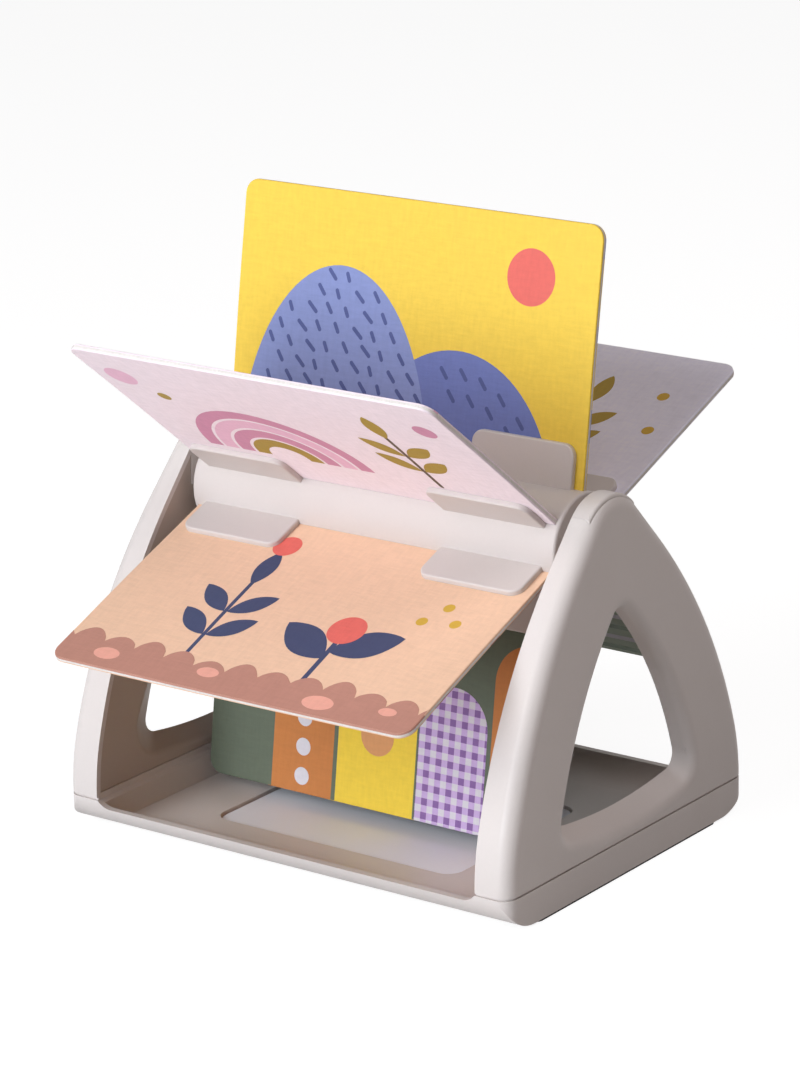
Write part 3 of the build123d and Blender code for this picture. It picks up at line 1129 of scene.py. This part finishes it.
    def _print(self, work: bmesh.types.BMesh, picture: Picture, face: Face, order: list[Ink]) -> None:
        """Lays a picture's fields of colour on one face.

        Args:
            work: Mesh under construction.
            picture: What is printed.
            face: Which face it is printed on.
            order: Inks in the order of the material slots, after the core.
        """
        window = self.outline(self.edge_round)
        for patch in picture.patches:
            upright = [(x, y if face is Face.LEADING else self.length - y) for x, y in patch.outline]
            if face is Face.TRAILING:
                upright.reverse()
            kept = clipped(upright, window)
            if len(kept) < 3:
                continue
            w = (self.half_thick + self.first_lift + self.layer_lift * patch.layer) * face.value
            corners = [work.verts.new((u, v, w)) for u, v in kept]
            if face is Face.TRAILING:
                corners.reverse()
            work.faces.new(corners).material_index = 1 + order.index(patch.ink)

    def _divide(self, work: bmesh.types.BMesh) -> None:
        """Cuts the flat mesh into cells, so that it can curl.

        Args:
            work: Mesh under construction.
        """
        bmesh.ops.remove_doubles(work, verts=work.verts[:], dist=self.MERGE)
        for axis, low, high in ((0, -self.half_width, self.half_width), (1, 0.0, self.length)):
            count = int((high - low) / self.cell)
            for k in range(1, count):
                at = Vector((0, 0, 0))
                at[axis] = low + (high - low) * k / count
                way = Vector((0, 0, 0))
                way[axis] = 1.0
                everything = work.verts[:] + work.edges[:] + work.faces[:]
                bmesh.ops.bisect_plane(work, geom=everything, dist=self.CUT, plane_co=at, plane_no=way)

    def _wrap(self, work: bmesh.types.BMesh, order: list[Ink]) -> None:
        """Runs both prints over the softened edges.

        Args:
            work: Mesh under construction.
            order: Inks in the order of the material slots, after the core.
        """
        work.normal_update()
        narrow = 1 - 2 * self.bleed / self.half_width
        for piece in work.faces:
            if piece.material_index == 0 or abs(piece.normal.z) > self.FACE_ON:
                continue
            u, v, w = piece.calc_center_median()
            v = min(max(v, self.bleed), self.length - self.bleed)
            ink = self.leading.ink_at(u * narrow, v)
            if w < 0:
                ink = self.trailing.ink_at(u * narrow, self.length - v)
            piece.material_index = 1 + order.index(ink)

    def _finish(self, work: bmesh.types.BMesh, shelf: FinishShelf, order: list[Ink]) -> bpy.types.Mesh:
        """Curls the mesh, marks where each point lies on the board and gives it its finishes.

        Args:
            work: Mesh under construction.
            shelf: Finishes.
            order: Inks in the order of the material slots, after the core.

        Returns:
            The finished mesh.
        """
        flat = work.loops.layers.uv.new(PLACE_MAP)
        for piece in work.faces:
            piece.smooth = True
            edge_on = piece.material_index == 0
            for loop in piece.loops:
                u, v, w = loop.vert.co
                loop[flat].uv = (u * MM, (v + (w if edge_on else 0.0)) * MM)
        for vert in work.verts:
            vert.co = self.place(*vert.co)
        mesh = bpy.data.meshes.new(f"{self.name}_board")
        work.to_mesh(mesh)
        work.free()
        mesh.materials.append(shelf.core())
        for ink in order:
            mesh.materials.append(shelf.paper(ink))
        mesh.set_sharp_from_angle(angle=math.radians(self.sharp_angle))
        return mesh


@dataclass
class TrayBase:
    """Tray with its inlaid panel, foot strips and screws."""

    plastic: str = "frame_plastic"

    def dress(self, shelf: FinishShelf) -> None:
        """Gives the tray's pieces their finishes.

        Args:
            shelf: Finishes.
        """
        dress("base_tray", shelf.moulded(self.plastic))
        dress("floor_panel", shelf.moulded("floor_film"))
        dress("base_screws", shelf.moulded("screw_steel"))
        for side in Side:
            dress(f"{side.value}_foot_strip", shelf.moulded("foot_rubber"))


@dataclass
class SideFrame:
    """One hollow side frame with its inner cover and axle cap."""

    side: Side
    plastic: str = "frame_plastic"
    # Finish of the inner cover: the frame plastic darkened and warmed as painted shade.
    cover: str = "cover_plastic_painted_shade"

    def dress(self, shelf: FinishShelf) -> None:
        """Gives the frame's pieces their finishes.

        Args:
            shelf: Finishes.
        """
        for piece in ("side_frame", "axle_cap"):
            dress(f"{self.side.value}_{piece}", shelf.moulded(self.plastic))
        # The inner cover's darker, warmer finish is painted shade, not a different plastic.
        dress(f"{self.side.value}_inner_cover", shelf.moulded(self.cover))


@dataclass
class PageDrum:
    """Drum with its clip tabs and the two hubs."""

    # Finish of the drum and hubs: their plastic darkened a little as painted shade from the pages.
    plastic: str = "wheel_plastic_with_painted_shade"

    def dress(self, shelf: FinishShelf) -> None:
        """Gives the drum and its hubs their finish.

        Args:
            shelf: Finishes.
        """
        dress("drum", shelf.moulded(self.plastic))
        for side in Side:
            dress(f"{side.value}_hub", shelf.moulded(self.plastic))


def bearing(azimuth: float, elevation: float) -> Vector:
    """Direction that something is seen in from the toy.

    Args:
        azimuth: Degrees from straight in front towards the right.
        elevation: Degrees over level.

    Returns:
        Vector of length 1.
    """
    a, e = math.radians(azimuth), math.radians(elevation)
    return Vector((math.sin(a) * math.cos(e), -math.cos(a) * math.cos(e), math.sin(e)))


@dataclass
class Softbox:
    """Rectangular studio lamp aimed at the toy, in metres, degrees and watts."""

    name: str
    azimuth: float
    elevation: float
    power: float
    tint: tuple[float, float, float] = (1.0, 1.0, 1.0)
    distance: float = 2.2
    wide: float = 1.3
    high: float = 1.0

    def build(self, target: Vector) -> None:
        """Places the lamp and turns it to the target.

        Args:
            target: Point that it shines at.
        """
        lamp = bpy.data.lights.new(self.name, "AREA")
        lamp.shape = "RECTANGLE"
        lamp.size, lamp.size_y = self.wide, self.high
        lamp.energy, lamp.color = self.power, self.tint
        away = bearing(self.azimuth, self.elevation)
        piece = bpy.data.objects.new(self.name, lamp)
        bpy.context.scene.collection.objects.link(piece)
        piece.location = target + away * self.distance
        piece.rotation_mode = "QUATERNION"
        piece.rotation_quaternion = (-away).to_track_quat("-Z", "Y")
        piece.visible_camera = False


@dataclass
class Studio:
    """White sweep, soft lamps and the camera of the photograph."""

    azimuth: float = 36.893
    elevation: float = 17.143
    roll: float = -1.440
    lens: float = 138.28
    sensor: float = 36.0
    station: tuple[float, float, float] = (0.92829, -1.23670, 0.59229)
    target: tuple[float, float, float] = (0.0, 0.0, 0.12)
    ambient: tuple[float, float, float] = (0.02, 0.016, 0.014)
    floor_half: float = 8.0
    bounce: tuple[float, float, float] = (0.47, 0.45, 0.435)
    apron: tuple[float, float] = (-0.1, -0.084)
    apron_gain: float = 1.75
    shadow_grey: float = 0.26
    glow: float = 0.9
    lamps: tuple[Softbox, ...] = (
        Softbox("front_softbox", -8, 9, 28.5, (0.93, 1.01, 1.11), wide=1.0, high=0.9),
        Softbox("high_softbox", -20, 33, 22.5),
        Softbox("side_fill", 65, 61, 11.0, (1.0, 0.97, 0.98)),
        Softbox("back_fill", 128, 48, 7.2, (1.0, 0.85, 0.81)),
    )

    def build(self) -> None:
        """Builds the camera, the lamps, the world and the floor."""
        self._camera()
        for lamp in self.lamps:
            lamp.build(Vector(self.target))
        self._world()
        self._floor()
        bpy.context.scene.view_settings.view_transform = "Standard"

    def _camera(self) -> None:
        """Places the camera."""
        a, r = math.radians(self.azimuth), math.radians(self.roll)
        back = bearing(self.azimuth, self.elevation)
        right = Vector((math.cos(a), math.sin(a), 0.0))
        up = back.cross(right)
        level = right * math.cos(r) + up * math.sin(r)
        upright = up * math.cos(r) - right * math.sin(r)
        data = bpy.data.cameras.new("photo_camera")
        data.lens, data.sensor_width = self.lens, self.sensor
        camera = bpy.data.objects.new("photo_camera", data)
        bpy.context.scene.collection.objects.link(camera)
        turn = Matrix((level, upright, back)).transposed().to_4x4()
        camera.matrix_world = Matrix.Translation(Vector(self.station)) @ turn
        bpy.context.scene.camera = camera

    @staticmethod
    def _seen(sketch: ShaderSketch) -> bpy.types.NodeSocket:
        """Makes a mask that is 1 for what the camera, reflections and glass see.

        Args:
            sketch: Nodes of the floor or the world.

        Returns:
            The mask's socket.
        """
        path = sketch.node("ShaderNodeLightPath")
        shiny = sketch.math("MAXIMUM", path.outputs["Is Glossy Ray"], path.outputs["Is Transmission Ray"])
        return sketch.math("MAXIMUM", path.outputs["Is Camera Ray"], shiny)

    def _world(self) -> None:
        """Makes a white world that lights softly."""
        world = bpy.data.worlds.new("studio")
        world.use_nodes = True
        sketch = ShaderSketch(world.node_tree)
        soft = sketch.node("ShaderNodeBackground", {"Color": (*self.ambient, 1.0), "Strength": 1.0})
        white = sketch.node("ShaderNodeBackground", {"Color": WHITE, "Strength": 1.0})
        mix = sketch.node("ShaderNodeMixShader")
        sketch.feed(mix.inputs[0], self._seen(sketch))
        sketch.feed(mix.inputs[1], soft.outputs[0])
        sketch.feed(mix.inputs[2], white.outputs[0])
        sketch.node("ShaderNodeOutputWorld", {"Surface": mix.outputs[0]})
        bpy.context.scene.world = world

    def _floor(self) -> None:
        """Makes a wide white floor that keeps the toy's shadow."""
        half = self.floor_half
        mesh = bpy.data.meshes.new("floor")
        corners = [(-half, -half, 0), (half, -half, 0), (half, half, 0), (-half, half, 0)]
        mesh.from_pydata(corners, [], [(0, 1, 2, 3)])
        mesh.materials.append(self._sweep())
        floor = bpy.data.objects.new("floor", mesh)
        bpy.context.scene.collection.objects.link(floor)

    def _sweep(self) -> bpy.types.Material:
        """Makes the floor's white, which throws more light up from the apron in front of the toy.

        Returns:
            The new material.
        """
        material = bpy.data.materials.new("floor_sweep")
        material.use_nodes = True
        sketch = ShaderSketch(material.node_tree)
        place = sketch.node("ShaderNodeNewGeometry").outputs["Position"]
        depth = sketch.node("ShaderNodeSeparateXYZ", {"Vector": place}).outputs["Y"]
        near, far = self.apron
        span = {"From Min": near, "From Max": far, "To Min": self.apron_gain, "To Max": 1.0}
        lit = sketch.node("ShaderNodeMapRange", {"Value": depth, **span}).outputs["Result"]
        bounce = sketch.node("ShaderNodeBsdfDiffuse", {"Color": sketch.scaled(self.bounce, lit)})
        grey = (self.shadow_grey, self.shadow_grey, self.shadow_grey, 1.0)
        shaded = sketch.node("ShaderNodeBsdfDiffuse", {"Color": grey})
        glow = sketch.node("ShaderNodeEmission", {"Color": WHITE, "Strength": self.glow})
        both = sketch.node("ShaderNodeAddShader")
        sketch.feed(both.inputs[0], shaded.outputs[0])
        sketch.feed(both.inputs[1], glow.outputs[0])
        mix = sketch.node("ShaderNodeMixShader")
        sketch.feed(mix.inputs[0], self._seen(sketch))
        sketch.feed(mix.inputs[1], bounce.outputs[0])
        sketch.feed(mix.inputs[2], both.outputs[0])
        sketch.node("ShaderNodeOutputMaterial", {"Surface": mix.outputs[0]})
        return material


def main() -> None:
    """Builds the studio and dresses the toy, sub-assembly by sub-assembly."""
    logging.basicConfig(level=logging.INFO, format="%(message)s")
    Studio().build()
    shelf = FinishShelf()
    TrayBase().dress(shelf)
    for side in Side:
        SideFrame(side).dress(shelf)
    PageDrum().dress(shelf)
    book = PictureBook()
    sun_dots = book.dotted(Ink.SUN, [Ink.CORAL, Ink.PERIWINKLE])
    rose_stripes = book.striped(Ink.ROSE, [Ink.PALE_MAUVE, Ink.MAUVE])
    peach_dots = book.dotted(Ink.PEACH, [Ink.CORAL, Ink.CLAY])
    moss_dots = book.dotted(Ink.MOSS, [Ink.MIST, Ink.ORANGE])
    sage_stripes = book.striped(Ink.SAGE, [Ink.FERN, Ink.MIST])
    lilac_dots = book.dotted(Ink.LAVENDER, [Ink.PLUM, Ink.MIST])
    boards = [
        BoardPage("page_yellow", book.hills(), sun_dots, curl=-0.9, bow=0.3),
        BoardPage("page_pink", book.meadow(), rose_stripes, curl=0.5, twist=0.3),
        BoardPage("page_peach", peach_dots, book.garden(), curl=0.9, bow=-0.4),
        BoardPage("page_green", moss_dots, book.patchwork(), curl=0.4, bow=0.4),
        BoardPage("page_sage", book.orchard(), sage_stripes, curl=-0.5, twist=-0.3),
        BoardPage("page_lilac", book.twigs(), lilac_dots, curl=0.2, bow=-0.3),
    ]
    for board in boards:
        board.build(shelf)


if __name__ == "__main__":
    main()
